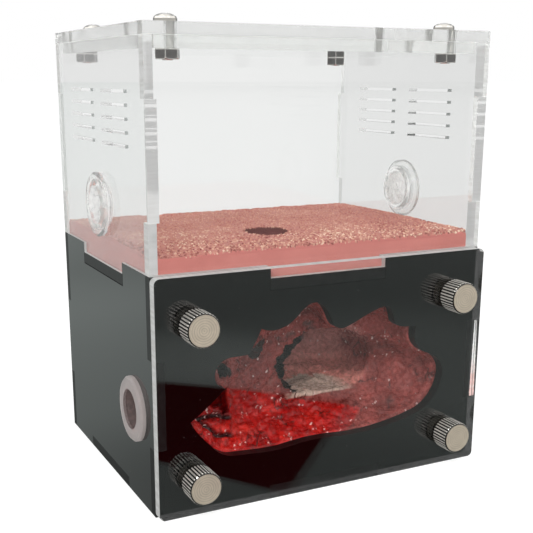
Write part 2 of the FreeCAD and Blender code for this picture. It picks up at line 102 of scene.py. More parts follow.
class Shader:
    """A material under construction, with short names for the nodes that it uses."""

    def __init__(self, name, tree=None):
        if tree is None:
            self.material = bpy.data.materials.new(name)
            self.material.use_nodes = True
            tree = self.material.node_tree
        self.tree = tree
        self.tree.nodes.clear()

    def add(self, kind, inputs=None, **settings):
        made = self.tree.nodes.new("ShaderNode" + kind)
        for name, value in settings.items():
            setattr(made, name, value)
        for name, value in (inputs or {}).items():
            self.feed(made.inputs[name], value)
        return made

    def feed(self, socket, value):
        if isinstance(value, bpy.types.NodeSocket):
            self.tree.links.new(value, socket)
        elif socket.type == "RGBA" and len(value) == 3:
            socket.default_value = (*value, 1.0)
        else:
            socket.default_value = value

    def math(self, operation, *values):
        return self.add("Math", dict(enumerate(values)), operation=operation).outputs[0]

    def scaled(self, value, factor, offset):
        return self.math("MULTIPLY_ADD", value, factor, offset)

    def vectors(self, operation, *values, output="Vector"):
        return self.add("VectorMath", dict(enumerate(values)), operation=operation).outputs[output]

    def coords(self, kind):
        return self.add("TexCoord").outputs[kind]

    def place(self):
        """Where a point of the surface is, in the part's frame."""
        return self.coords("Object")

    def axes(self, vector):
        return self.add("SeparateXYZ", {0: vector}).outputs

    def noise(self, size, detail=3.0, rough=0.55, vector=None):
        """Cloudy noise whose lumps are about size metres across."""
        inputs = {"Vector": vector or self.place(), "Scale": 1.0 / size, "Detail": detail,
                  "Roughness": rough}
        return self.add("TexNoise", inputs).outputs["Fac"]

    def cells(self, size, feature="F1", vector=None):
        inputs = {"Vector": vector or self.place(), "Scale": 1.0 / size}
        return self.add("TexVoronoi", inputs, feature=feature).outputs["Distance"]

    def ramp(self, fac, *stops):
        """Colour ramp over (position, colour) stops."""
        made = self.add("ValToRGB", {"Fac": fac})
        elements = made.color_ramp.elements
        while len(elements) < len(stops):
            elements.new(0.5)
        for element, (position, colour) in zip(elements, stops):
            element.position = position
            element.color = (*colour, 1.0)
        return made.outputs["Color"]

    def span(self, value, low, high, to_low=0.0, to_high=1.0):
        """Smooth change from to_low, where value is at low, to to_high, where it is at high."""
        inputs = {"Value": value, "From Min": low, "From Max": high, "To Min": to_low, "To Max": to_high}
        return self.add("MapRange", inputs, interpolation_type="SMOOTHSTEP").outputs["Result"]

    def over(self, value, edge, blur):
        """1 where value is over the edge."""
        return self.span(value, edge - blur, edge + blur)

    def under(self, value, edge, blur):
        """1 where value is under the edge."""
        return self.span(value, edge + blur, edge - blur)

    def both(self, *shares):
        """Product of shares."""
        product = shares[0]
        for share in shares[1:]:
            product = self.math("MULTIPLY", product, share)
        return product

    def mix_colour(self, fac, a, b, blend="MIX"):
        made = self.add("Mix", data_type="RGBA", blend_type=blend)
        for name, value in (("Factor_Float", fac), ("A_Color", a), ("B_Color", b)):
            self.feed(next(s for s in made.inputs if s.identifier == name), value)
        return next(s for s in made.outputs if s.identifier == "Result_Color")

    def mix_value(self, fac, a, b):
        return self.add("Mix", {"Factor": fac, "A": a, "B": b}).outputs["Result"]

    def mix(self, fac, a, b):
        return self.add("MixShader", {0: fac, 1: a, 2: b}).outputs[0]

    def bump(self, height, depth, strength=1.0, normal=None):
        inputs = {"Height": height, "Distance": depth, "Strength": strength}
        if normal is not None:
            inputs["Normal"] = normal
        return self.add("Bump", inputs).outputs["Normal"]

    def principled(self, **inputs):
        named = {name.replace("_", " "): value for name, value in inputs.items()}
        return self.add("BsdfPrincipled", named).outputs["BSDF"]

    def diffuse(self, colour):
        return self.add("BsdfDiffuse", {"Color": colour}).outputs[0]

    def scatter(self, colour, surface=None):
        """Milky stuff: half of it lets light through, and half is matt or has the given surface."""
        through = self.add("BsdfTranslucent", {"Color": colour}).outputs[0]
        return self.mix(0.5, through, surface or self.diffuse(colour))

    def shine(self, colour, strength):
        return self.add("Emission", {"Color": colour, "Strength": strength}).outputs[0]

    def turned_from(self, axis, limit=0.6):
        """1 on faces that look away from an axis, such as the edges of a sheet."""
        along = self.axes(self.coords("Normal"))[axis]
        return self.math("LESS_THAN", self.math("ABSOLUTE", along), limit)

    def radius(self, axis):
        """Distance from the piece's own middle line along an axis, as a share of its width."""
        spread = self.axes(self.vectors("SUBTRACT", self.coords("Generated"), (0.5, 0.5, 0.5)))
        first, second = (self.math("POWER", spread[i], 2.0) for i in (X, Y, Z) if i != axis)
        return self.math("SQRT", self.math("ADD", first, second))

    def light_path(self, name):
        return self.add("LightPath").outputs[name]

    def path(self, mirrors, faces):
        """1 for light that has met so many mirrors and so many faces of clear stuff."""
        return self.both(self.math("COMPARE", self.light_path("Glossy Depth"), mirrors, 0.5),
                         self.math("COMPARE", self.light_path("Transmission Depth"), faces, 0.5))

    def in_a_mirror(self):
        """1 for what a mirror shows, with no clear stuff on the way."""
        return self.both(self.math("GREATER_THAN", self.light_path("Glossy Depth"), 0.5),
                         self.math("LESS_THAN", self.light_path("Transmission Depth"), 0.5))

    def through_sheet(self):
        """1 for what is seen through a clear sheet, or mirrored in one after passing another."""
        glossy = self.both(self.light_path("Is Glossy Ray"),
                           self.math("GREATER_THAN", self.light_path("Transmission Depth"), 0.5))
        return self.math("MAXIMUM", self.light_path("Is Transmission Ray"), glossy)

    def out(self, surface):
        self.add("OutputMaterial", {"Surface": surface})
        return self.material


def lets_light_through(shader, surface, tint):
    """Clear stuff casts no black shadow: lamps pass it straight, a little dimmed."""
    clear = shader.add("BsdfTransparent", {"Color": tint}).outputs[0]
    return shader.mix(shader.light_path("Is Shadow Ray"), surface, clear)


BLACK = (0.0, 0.0, 0.0)
WHITE = (1.0, 1.0, 1.0)


def dress(node_name, material):
    slots = NODES[node_name].data.materials
    slots.clear()
    slots.append(material)


# ---------------- acrylic

ACRYLIC_IOR = 1.49
ACRYLIC_GREEN = 0.004  # clear acrylic passes this much more green
ACRYLIC_SHADOW = (0.95, 0.96, 0.955)
CUT_TONES = ((0.80, 0.80, 0.78), (0.93, 0.935, 0.925))
STREAK_SIZE = 0.7 * MM
STREAK_STRETCH = 0.06  # scale of the streaks across the sheet
SLIT_GLOW = 0.1


def at_left_or_top(s):
    """1 on faces that look to the left or upwards, also where light meets them from inside."""
    outward = s.scaled(s.add("NewGeometry").outputs["Backfacing"], -2.0, 1.0)
    ways = s.axes(s.coords("Normal"))
    return s.math("MAXIMUM", s.math("LESS_THAN", s.both(ways[X], outward), -0.3),
                  s.math("GREATER_THAN", s.both(ways[Z], outward), 0.3))


def at_rim(s, reach, low, high):
    """1 on a side wall's own edges: beyond reach along Y, under low or over high."""
    _, y, z = s.axes(s.place())
    outside = s.math("MAXIMUM", s.math("LESS_THAN", z, low), s.math("GREATER_THAN", z, high))
    return s.math("MAXIMUM", s.math("GREATER_THAN", s.math("ABSOLUTE", y), reach), outside)


def clear_acrylic(name, across, body=0.985, cut_body=0.985, glow=0.7, lit_sides_only=False, rim=None):
    """Cast acrylic: polished faces, and laser-cut edges with fine streaks along the beam.

    body and cut_body are the shares of light that the faces and the edges pass, and glow is the
    share that the edges scatter. With lit_sides_only, only the left and top edges scatter it, as painted
    light where the light falls.
    With rim, as at_rim takes it, the outer edges also shine of themselves, for the light that
    gathers in them, and the cut faces inside the rim, such as slits, are dark and scatter little."""
    s = Shader(name)
    face = s.principled(Base_Color=(body, body + ACRYLIC_GREEN, body), Roughness=0.0, IOR=ACRYLIC_IOR,
                        Transmission_Weight=1.0)
    stretch = [1.0, 1.0, 1.0]
    stretch[across] = STREAK_STRETCH
    beam_place = s.add("Mapping", {"Vector": s.place(), "Scale": stretch}).outputs[0]
    streaks = s.noise(STREAK_SIZE, 2.0, 0.6, beam_place)
    cut = s.principled(Base_Color=(cut_body, cut_body + ACRYLIC_GREEN, cut_body), Roughness=0.03,
                       IOR=ACRYLIC_IOR, Transmission_Weight=1.0, Normal=s.bump(streaks, 0.006 * MM, 0.4))
    tone = s.mix_colour(s.span(streaks, 0.3, 0.7), *CUT_TONES)
    share, surface = glow, None
    # Painted light: only the left and top edges scatter white, where the light falls.
    if lit_sides_only:
        share = s.both(at_left_or_top(s), glow)
    if rim:
        outer = at_rim(s, *rim)
        share = s.span(outer, 0.0, 1.0, SLIT_GLOW, glow)
        surface = s.shine(WHITE, outer)
    edge = s.mix(share, cut, s.scatter(tone, surface))
    return s.out(lets_light_through(s, s.mix(s.turned_from(across), face, edge), ACRYLIC_SHADOW))


DUST_SPACING = 3.4 * MM


def black_acrylic(name, across):
    """Black sheet: mirror-like faces with specks of dust, and matt laser-cut edges."""
    s = Shader(name)
    dust = s.span(s.cells(DUST_SPACING), 0.05, 0.035)
    base = s.mix_colour(dust, (0.0006, 0.0007, 0.0007), (0.07, 0.07, 0.068))
    face = s.principled(Base_Color=base, Roughness=0.0, IOR=ACRYLIC_IOR)
    burnt = s.ramp(s.noise(2 * MM), (0.3, (0.002, 0.002, 0.002)), (0.7, (0.008, 0.008, 0.008)))
    edge = s.principled(Base_Color=burnt, Roughness=0.45, IOR=1.3)
    return s.out(s.mix(s.turned_from(across), face, edge))


def joint_gap():
    """Dark slit between two black sheets."""
    s = Shader("joint_gap")
    tone = s.ramp(s.noise(1.5 * MM), (0.3, (0.001, 0.001, 0.001)), (0.7, (0.006, 0.006, 0.006)))
    return s.out(s.principled(Base_Color=tone, Roughness=0.9, Specular_IOR_Level=0.1))


def glue():
    """Bead of cement that the light comes through at a finger joint, stained by the gypsum lower down. It
    also glows a little of itself: painted light.
    """
    s = Shader("glue_bead")
    height = s.axes(s.coords("Generated"))[Z]
    stain = s.both(s.span(height, 0.55, 0.2), s.span(s.noise(1.6 * MM), 0.3, 0.6, 0.5, 1.0))
    tone = s.mix_colour(stain, (0.86, 0.85, 0.84), (0.80, 0.50, 0.47))
    skin = s.bump(s.noise(0.8 * MM), 0.05 * MM, 0.5)
    # Emission in its own tone: a painted glow.
    return s.out(s.principled(Base_Color=tone, Roughness=0.3, Emission_Color=tone, Emission_Strength=0.25,
                              Normal=skin))


# ---------------- gypsum

# Soaked part of the cave, under a slanting line: its height at the reference point, and
# how it falls to the right and backwards. The soaked part also ends at a slanting line on the right.
# These lines follow the edge of the window's dark reflection: the soaked part is glossier, and its deep red
# is partly a painted reflection.
RED_EDGE_REFERENCE = -33.0 * MM
RED_EDGE_HEIGHT = 22.8 * MM
RED_EDGE_FALL = (0.285, 0.238)
RED_END = 0.98 * MM
RED_END_SLOPES = (0.72, 0.944)
# The chamber behind the front hollow: dry rock beyond this place, with a pale floor. Its upper
# left, behind a slanting line, gets a painted shade.
CHAMBER_BEHIND = -24.3 * MM
CHAMBER_LEFT = -12.0 * MM
CHAMBER_RIGHT = 21.0 * MM
CHAMBER_FLOOR = 22.2 * MM
CHAMBER_TOP = 33.0 * MM
DARK_SLOPE = 1.356
DARK_AT_FLOOR = -1.0 * MM
DARK_UNTIL = 11.5 * MM
# Mouths of side tunnels, given a painted shade: middles and half sizes in millimetres.
TUNNEL_MOUTHS = (((-27.4, -27.7, 33.3), (3.2, 3.4, 2.7)), ((-15.4, -26.5, 38.6), (2.6, 5.0, 4.2)))
# Colours of the rock, from its dark to its pale patches.
DAMP = ((0.3, (0.18, 0.032, 0.026)), (0.5, (0.27, 0.048, 0.040)), (0.72, (0.40, 0.083, 0.070)))
# Deep reds of the soaked part, partly a painted reflection.
SOAK_AND_REFLECTION_REDS = ((0.35, (0.36, 0.005, 0.004)), (0.5, (0.50, 0.008, 0.006)), (0.68, (0.68, 0.028, 0.018)))
# Dry rock of the chamber, low down and high up: paler low, a painted light on the lower wall.
DRY_LOW = ((0.62, 0.20, 0.165), (0.85, 0.33, 0.27))
DRY_HIGH = ((0.40, 0.16, 0.145), (0.60, 0.25, 0.225))
PALE_FLOOR = ((0.50, 0.36, 0.29), (0.74, 0.55, 0.45))
# Painted shade for the dark upper left of the chamber and the tunnel mouths.
UNLIT = (0.010, 0.006, 0.005)
# Painted shade of fine cracks and of the carved crevices.
CRACK = (0.075, 0.012, 0.010)
CREVICE = (0.012, 0.002, 0.002)
PAINTED_GLINTS = ((0.80, 0.62, 0.58), (0.95, 0.66, 0.62))  # painted glints, on damp and on soaked rock
# Cells and cracks are bent out of line by up to this much along each axis.
WARP = (2.5 * MM, 2 * MM, 3 * MM)


def soak_and_reflection_share(s, place, fine):
    """1 where the rock is soaked; its edges follow the window's dark reflection."""
    wobble = s.scaled(fine, 1.6 * MM, -0.8 * MM)
    back = s.math("SUBTRACT", place[Y], RED_EDGE_REFERENCE)
    red_edge = s.scaled(back, RED_EDGE_FALL[1], place[Z])
    red_edge = s.scaled(place[X], RED_EDGE_FALL[0], red_edge)
    end = s.scaled(back, -RED_END_SLOPES[1], place[X])
    end = s.scaled(place[Z], -RED_END_SLOPES[0], end)
    return s.both(s.under(s.math("ADD", red_edge, wobble), RED_EDGE_HEIGHT, 0.4 * MM),
                  s.under(s.math("ADD", end, wobble), RED_END, 1.2 * MM))


def chamber_share(s, place):
    """1 in the chamber behind the front hollow."""
    return s.both(s.span(place[Y], CHAMBER_BEHIND, CHAMBER_BEHIND + 1.2 * MM),
                  s.over(place[X], CHAMBER_LEFT, 1.5 * MM), s.under(place[X], CHAMBER_RIGHT, 3 * MM))


def chamber_floor_share(s, place):
    """1 on the pale floor of the chamber."""
    return s.both(s.over(place[Y], CHAMBER_BEHIND - 1.2 * MM, 0.4 * MM),
                  s.over(place[X], -5.5 * MM, 1 * MM), s.under(place[X], 15.5 * MM, 3.5 * MM),
                  s.under(place[Z], CHAMBER_FLOOR + 1.2 * MM, 0.3 * MM),
                  s.over(place[Z], CHAMBER_FLOOR - 0.65 * MM, 0.25 * MM))


def unlit_share(s, place, in_chamber):
    """1 where painted shade goes: the upper left of the chamber and the mouths of the side tunnels."""
    height = s.math("SUBTRACT", place[Z], CHAMBER_FLOOR + 1 * MM)
    slant = s.scaled(height, -DARK_SLOPE, place[X])
    slant = s.scaled(s.noise(2.2 * MM, 2.0), 2.4 * MM, s.math("SUBTRACT", slant, 1.2 * MM))
    unlit = s.both(in_chamber, s.under(slant, DARK_AT_FLOOR, 0.3 * MM),
                   s.under(place[X], DARK_UNTIL, 1.5 * MM))
    for middle, half in TUNNEL_MOUTHS:
        away = 0.0
        for axis in (X, Y, Z):
            share = s.scaled(place[axis], 1 / (half[axis] * MM), -middle[axis] / half[axis])
            away = s.scaled(share, share, away)
        unlit = s.math("MAXIMUM", unlit, s.span(away, 1.15, 0.95))
    return unlit


def crack_share(s, warped, in_chamber):
    """1 in fine cracks drawn as painted shade, which are in patches and fewer in the chamber."""
    crack = s.span(s.cells(4.2 * MM, "DISTANCE_TO_EDGE", warped), 0.06, 0.015)
    patches = s.span(s.noise(6 * MM, 2.0), 0.5, 0.62)
    return s.both(crack, patches, s.span(in_chamber, 0.0, 1.0, 1.0, 0.2))


def painted_glint_share(s, warped, soak_and_reflection, unlit):
    """1 on painted glints: pale spots in the base colour that stand in for wet highlights."""
    cells = s.add("TexVoronoi", {"Vector": warped, "Scale": 1 / (1.3 * MM)})
    chosen = s.math("GREATER_THAN", s.axes(cells.outputs["Color"])[X], s.span(soak_and_reflection, 0.0, 1.0, 0.8, 0.5))
    patches = s.math("GREATER_THAN", s.noise(7 * MM, 2.0), 0.5)
    middle = s.span(cells.outputs["Distance"], 0.30, 0.2)
    return s.both(chosen, patches, middle, s.math("SUBTRACT", 1.0, unlit))


def wet_rock():
    """Carved gypsum: greyish pink where it is damp, deep red and glossy where it is soaked, that deep red
    partly a painted reflection.
    """
    s = Shader("wet_gypsum")
    place = s.axes(s.place())
    broad = s.noise(9 * MM, 4.0, 0.6)
    fine = s.noise(1.1 * MM, 5.0, 0.65)
    grain = s.noise(0.35 * MM, 3.0, 0.7)
    soak_and_reflection = soak_and_reflection_share(s, place, fine)
    in_chamber = chamber_share(s, place)
    unlit = unlit_share(s, place, in_chamber)
    warped = s.vectors("ADD", s.place(), s.mix_colour(fine, BLACK, WARP))

    # Soaked part: glossier, and its deep red is partly a painted reflection.
    rock = s.mix_colour(soak_and_reflection, s.ramp(broad, *DAMP), s.ramp(broad, *SOAK_AND_REFLECTION_REDS))
    # Painted light: the chamber's wall is paler low down and darker towards its top.
    height = s.span(place[Z], CHAMBER_FLOOR + 1.5 * MM, CHAMBER_TOP)
    dry = s.mix_colour(height, s.mix_colour(broad, *DRY_LOW), s.mix_colour(broad, *DRY_HIGH))
    rock = s.mix_colour(in_chamber, rock, dry)
    rock = s.mix_colour(chamber_floor_share(s, place), rock, s.mix_colour(broad, *PALE_FLOOR))
    # Painted shade.
    rock = s.mix_colour(unlit, rock, UNLIT)

    # Painted shade and light from the relief: in the damp rock the colour follows the bumps, darker in their
    # hollows and paler on their tops; in the soaked rock it is tone at random.
    hollows = s.mix_colour(soak_and_reflection, (0.80, 0.77, 0.77), (0.68, 0.5, 0.5))
    relief = s.mix_colour(soak_and_reflection, fine, s.noise(1.7 * MM, 4.0, 0.6))
    relief = s.mix_colour(s.span(relief, 0.38, 0.6), hollows, (1.15, 1.12, 1.12))
    rock = s.mix_colour(1.0, rock, relief, "MULTIPLY")

    # Painted shade in the pits, where the fine bumps dip.
    pits = s.both(s.span(grain, 0.42, 0.3), s.span(soak_and_reflection, 0.0, 1.0, 0.25, 0.4))
    crevice_shade = s.add("Attribute", attribute_name="shade").outputs["Fac"]
    # Painted shade of pits, cracks and crevices.
    dark = s.math("MAXIMUM", s.math("MAXIMUM", pits, crack_share(s, warped, in_chamber)), crevice_shade)
    rock = s.mix_colour(dark, rock, s.mix_colour(crevice_shade, CRACK, CREVICE))
    # Painted glints.
    rock = s.mix_colour(painted_glint_share(s, warped, soak_and_reflection, unlit), rock, s.mix_colour(soak_and_reflection, *PAINTED_GLINTS))

    skin = s.bump(grain, 0.2 * MM, 0.6, s.bump(fine, 0.7 * MM, 0.8))
    return s.out(s.principled(Base_Color=rock, Roughness=s.span(fine, 0.35, 0.7, 0.14, 0.42), IOR=1.4,
                              Specular_IOR_Level=0.4, Coat_Weight=s.span(soak_and_reflection, 0.0, 1.0, 0.25, 0.65),
                              Coat_Roughness=0.06, Normal=skin))


# Axis and radius of the ant shaft.
SHAFT_AT = (-6.0 * MM, -12.5 * MM)
SHAFT_RADIUS = 6.5 * MM
SHAFT_MARGIN = 0.7 * MM


def in_shaft(s):
    """1 on the wall of the ant shaft, which gets a painted shade."""
    place = s.axes(s.place())
    x, y = (s.math("SUBTRACT", place[i], SHAFT_AT[i]) for i in (X, Y))
    away = s.math("ADD", s.both(x, x), s.both(y, y))
    return s.both(s.turned_from(Z), s.math("LESS_THAN", away, (SHAFT_RADIUS + SHAFT_MARGIN) ** 2))


def dry_gypsum():
    """Pink plaster with fine pores, with a painted shade inside the shaft."""
    s = Shader("pink_gypsum")
    cloud = s.noise(16 * MM, 4.0, 0.6)
    pores = s.noise(0.7 * MM, 4.0, 0.7)
    base = s.ramp(cloud, (0.3, (0.57, 0.18, 0.155)), (0.7, (0.67, 0.235, 0.205)))
    tone = s.mix_colour(s.span(pores, 0.62, 0.75, 0.0, 0.5), base, (0.45, 0.11, 0.10))
    # Painted shade inside the shaft.
    tone = s.mix_colour(in_shaft(s), tone, (0.20, 0.06, 0.055))
    return s.out(s.principled(Base_Color=tone, Roughness=0.75, Normal=s.bump(pores, 0.12 * MM, 0.5)))


GRAIN_COLOURS = (
    (0.0, (0.26, 0.06, 0.05)),
    (0.3, (0.47, 0.165, 0.13)),
    (0.6, (0.58, 0.275, 0.21)),
    (0.85, (0.70, 0.45, 0.335)),
    (1.0, (0.84, 0.67, 0.52)),
)
BED_COLOURS = ((0.0, (0.40, 0.12, 0.10)), (1.0, (0.60, 0.25, 0.20)))
BED_SIDE = (0.61, 0.195, 0.17)


def sand(name, colours, bump_depth, side=None):
    """Coloured grains; each grain has its own shade, and patches of them are paler.

    side is the colour of the bed's own upright sides."""
    s = Shader(name)
    each = s.add("Attribute", attribute_name="shade").outputs["Fac"]
    patch = s.noise(22 * MM, 3.0, 0.55)
    shade = s.math("ADD", each, s.span(patch, 0.35, 0.65, -0.12, 0.12))
    base = s.ramp(shade, *colours)
    if side:
        upright = s.math("LESS_THAN", s.axes(s.coords("Normal"))[Z], 0.5)
        base = s.mix_colour(upright, base, side)
        # Painted shade on the bed's sides in the shaft.
        base = s.mix_colour(in_shaft(s), base, (0.22, 0.065, 0.06))
    speck = s.noise(0.4 * MM, 3.0, 0.7)
    return s.out(s.principled(Base_Color=base, Roughness=0.6, Normal=s.bump(speck, bump_depth, 0.6)))


# ---------------- metal and silicone

# Painted shade in the grooves of the knurl.
GROOVE_SHADE = (0.012, 0.011, 0.01)
DIM_ROOM = (0.03, 0.03, 0.028)  # painted reflection: the colour polished metal is given where it turns away from the eye
RINGS = 90.0  # phase of the lathe's rings over the piece's width
CORNER_RADIUS = 0.06 * MM
EDGE_HIGHLIGHT_RADIUS = 0.45 * MM


def edge_highlight_share(s):
    """1 along the corners of a piece, where the painted highlight goes."""
    wide = s.add("Bevel", {"Radius": EDGE_HIGHLIGHT_RADIUS}, samples=8).outputs[0]
    flat = s.add("NewGeometry").outputs["True Normal"]
    return s.span(s.vectors("DOT_PRODUCT", wide, flat, output="Value"), 0.999, 0.93)


def turned_metal(name, axis, side, end, side_rough, end_rough, side_metal=1.0, end_metal=1.0,
                 groove=None, dark_away=0.0, edges=None):
    """Plated metal with a side and an end colour, and a lathe's fine rings on faces square to the axis.

    groove holds two radii, as shares of the piece's width, between which its side is darkened: a painted
    shade in the grooves.
    dark_away is how much darker the metal is painted where it turns away from the eye, a painted
    reflection of a dim room, and edges is the colour of a painted highlight along its corners."""
    s = Shader(name)
    radius = s.radius(axis)
    on_end = s.span(s.math("ABSOLUTE", s.axes(s.coords("Normal"))[axis]), 0.7, 0.95)
    grime = s.noise(1.6 * MM, 4.0, 0.65)
    phase = s.scaled(grime, 1.5, s.math("MULTIPLY", radius, RINGS))
    rings = s.both(s.math("SINE", phase), on_end)
    tone = s.mix_colour(on_end, side, end)
    tone = s.mix_colour(s.span(grime, 0.35, 0.7, 0.1, 0.0), tone, BLACK)
    tone = s.mix_colour(s.both(s.span(rings, 0.2, 1.0), 0.22), tone, BLACK)
    # Painted shade in the grooves.
    if groove:
        groove_shade = s.both(s.span(radius, *groove), s.math("SUBTRACT", 1.0, on_end))
        tone = s.mix_colour(groove_shade, tone, GROOVE_SHADE)
    # Painted reflection: the colour darkens where the metal turns away from the eye.
    if dark_away:
        turned = s.add("LayerWeight", {"Blend": 0.5}).outputs["Facing"]
        tone = s.mix_colour(s.span(turned, 0.42, 0.72, 0.0, dark_away), tone, DIM_ROOM)
    # Painted highlight: a pale colour along the corners.
    if edges:
        tone = s.mix_colour(edge_highlight_share(s), tone, edges)
    rough = s.span(grime, 0.3, 0.7, side_rough, side_rough + 0.06)
    rough = s.scaled(on_end, end_rough - side_rough, rough)
    metal = side_metal
    if end_metal != side_metal:
        metal = s.scaled(on_end, end_metal - side_metal, side_metal)
    rounded = s.add("Bevel", {"Radius": CORNER_RADIUS}, samples=4).outputs[0]
    skin = s.bump(rings, 0.006 * MM, 0.5, rounded)
    return s.out(s.principled(Base_Color=tone, Metallic=metal, Roughness=rough, Normal=skin))


PLUG_RIM = (0.29, 0.32)  # shares of its width where a plug's floor ends and its rim begins
PLUG_RINGS = 150.0  # phase of a plug's moulded rings over its width


def silicone(name, colour, rim_milk, floor_milk, floor_colour):
    """Clear soft rubber of a round plug.

    rim_milk and floor_milk are the shares of light that its rim and its floor scatter."""
    s = Shader(name)
    radius = s.radius(X)
    rim = s.span(radius, *PLUG_RIM)
    skin = s.bump(s.noise(1.5 * MM, 3.0), 0.02 * MM, 0.4)
    skin = s.bump(s.math("SINE", s.math("MULTIPLY", radius, PLUG_RINGS)), 0.03 * MM, 0.3, skin)
    body = s.principled(Base_Color=(0.97, 0.97, 0.965), Roughness=0.04, IOR=1.41, Transmission_Weight=1.0,
                        Normal=skin)
    tone = s.mix_colour(s.noise(4 * MM, 3.0), colour, tuple(0.9 * c for c in colour))
    mottled = s.mix_colour(s.span(s.noise(1.2 * MM, 3.0), 0.35, 0.65),
                           tuple(0.6 * c for c in floor_colour), floor_colour)
    milk = s.span(rim, 0.0, 1.0, floor_milk, rim_milk)
    surface = s.mix(milk, body, s.scatter(s.mix_colour(rim, mottled, tone)))
    return s.out(lets_light_through(s, surface, tuple(0.6 + 0.35 * c for c in colour)))


# ---------------- meshes

def new_piece(name, mesh, body):
    piece = new_object(name, mesh)
    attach(piece, body)
    return piece


def new_mesh(name, points, faces, material):
    mesh = bpy.data.meshes.new(name)
    mesh.from_pydata(points, [], faces)
    mesh.materials.append(material)
    return mesh


def box_of(node_name):
    """Lowest and highest corner of a node, as arrays."""
    return tuple(np.array(corner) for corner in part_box(node_name))


def solid_copy(node_name, voxel):
    """Mesh of a CAD node, remade in even small quads."""
    draft = new_object("draft", NODES[node_name].data.copy())
    weld = draft.modifiers.new("weld", "WELD")
    weld.merge_threshold = 0.001 * MM
    remesh = draft.modifiers.new("remesh", "REMESH")
    remesh.mode = "VOXEL"
    remesh.voxel_size = voxel
    remesh.use_smooth_shade = True
    bpy.context.view_layer.update()
    whole = draft.evaluated_get(bpy.context.evaluated_depsgraph_get())
    mesh = bpy.data.meshes.new_from_object(whole)
    bpy.data.objects.remove(draft)
    mesh.materials.clear()
    return mesh


def points_of(mesh):
    """Points of a mesh and their normals, one a row."""
    spots = np.zeros(len(mesh.vertices) * 3)
    mesh.vertices.foreach_get("co", spots)
    ways = np.zeros(len(mesh.vertices) * 3)
    mesh.vertices.foreach_get("normal", ways)
    return spots.reshape(-1, 3), ways.reshape(-1, 3)


def move_points(mesh, spots):
    mesh.vertices.foreach_set("co", spots.ravel())
    mesh.update()


def shade_attribute(mesh, values):
    data = mesh.attributes.new("shade", "FLOAT", "POINT").data
    data.foreach_set("value", np.asarray(values, dtype=np.float32))


def lumps(spots, size, octaves, kind="fractal", seed=0.0):
    """Noise at each point, in about -1 to 1, its lumps size metres across."""
    shift = Vector((seed, 2.7 * seed, -1.3 * seed))
    if kind == "ridged":
        return np.array([noise.ridged_multi_fractal(Vector(p) / size + shift, 1.0, 2.1, octaves, 1.0, 2.0)
                         for p in spots]) - 1.2
    return np.array([noise.fractal(Vector(p) / size + shift, 0.8, 2.1, octaves) for p in spots])


def smooth(value, low, high):
    """Smooth rise from 0 at low to 1 at high."""
    t = np.clip((value - low) / (high - low), 0.0, 1.0)
    return t * t * (3.0 - 2.0 * t)


# ---------------- cave

CAVE_VOXEL = 0.55 * MM
FLAT_MARGIN = 0.25 * MM  # points nearer than this to a block's outside stay flat
# Lumps of the carved rock: their size and height.
BROAD_LUMPS = (7 * MM, 0.7 * MM)
RIDGES = (3.2 * MM, 0.55 * MM)
GRIT = (1.2 * MM, 0.36 * MM)
RIM_LUMPS = (2.4 * MM, 0.8 * MM)
FLOOR_RELIEF = 0.25  # share of the relief that the chamber's floor has
LIP = 1.0 * MM  # the rock's front edge stands this far into the opening at the upper left
LIP_ELSEWHERE = 0.3  # and this share of it elsewhere
SILL_DROP = 0.6  # share by which the step before the chamber's floor is lowered
RELAX_ROUNDS = 90
# Crevices in the front of the rock, as x and z in millimetres of their points.
CREVICES = (((-36.5, 24.0), (-35.5, 23.4), (-29.7, 22.6), (-24.5, 20.4)),
            ((-35.6, 23.2), (-32.6, 19.9), (-30.5, 17.8), (-28.6, 17.3), (-25.5, 16.6)))
CREVICE_WIDTH = 0.7 * MM
CREVICE_DEPTH = 1.5 * MM


def distance_to_line(x, z, corners):
    """Distance in the x-z plane of each point to a chain of straight runs."""
    nearest = np.full(len(x), np.inf)
    for (x0, z0), (x1, z1) in zip(corners[:-1], corners[1:]):
        start = np.array((x0, z0)) * MM
        run = np.array((x1 - x0, z1 - z0)) * MM
        share = np.clip(((x - start[0]) * run[0] + (z - start[1]) * run[1]) / run.dot(run), 0, 1)
        gap = np.hypot(x - start[0] - share * run[0], z - start[1] - share * run[1])
        nearest = np.minimum(nearest, gap)
    return nearest


def relax(mesh, spots, strength, rounds):
    """Draws each point towards the middle of its neighbours, by its own strength."""
    ends = np.zeros(len(mesh.edges) * 2, dtype=int)
    mesh.edges.foreach_get("vertices", ends)
    ends = ends.reshape(-1, 2)
    first, second = ends[(strength[ends] > 0).any(axis=1)].T
    count = np.maximum(np.bincount(np.concatenate([first, second]), minlength=len(spots)), 1)
    for _ in range(rounds):
        total = np.column_stack([np.bincount(first, spots[second, i], len(spots))
                                 + np.bincount(second, spots[first, i], len(spots)) for i in (X, Y, Z)])
        spots += strength[:, None] * (total / count[:, None] - spots)


def soften_right_end(mesh, spots, inside, front):
    """Rounds the right end of the hollow, which is scraped out smooth."""
    x, y, z = spots.T
    at_right = smooth(x, 9 * MM, 19 * MM) * smooth(y - front, 4 * MM, 8 * MM)
    at_right *= smooth(y - front, 24 * MM, 18 * MM)
    in_cave_height = (z > 12 * MM) & (z < 50 * MM)
    relax(mesh, spots, 0.5 * at_right * inside * in_cave_height, RELAX_ROUNDS)


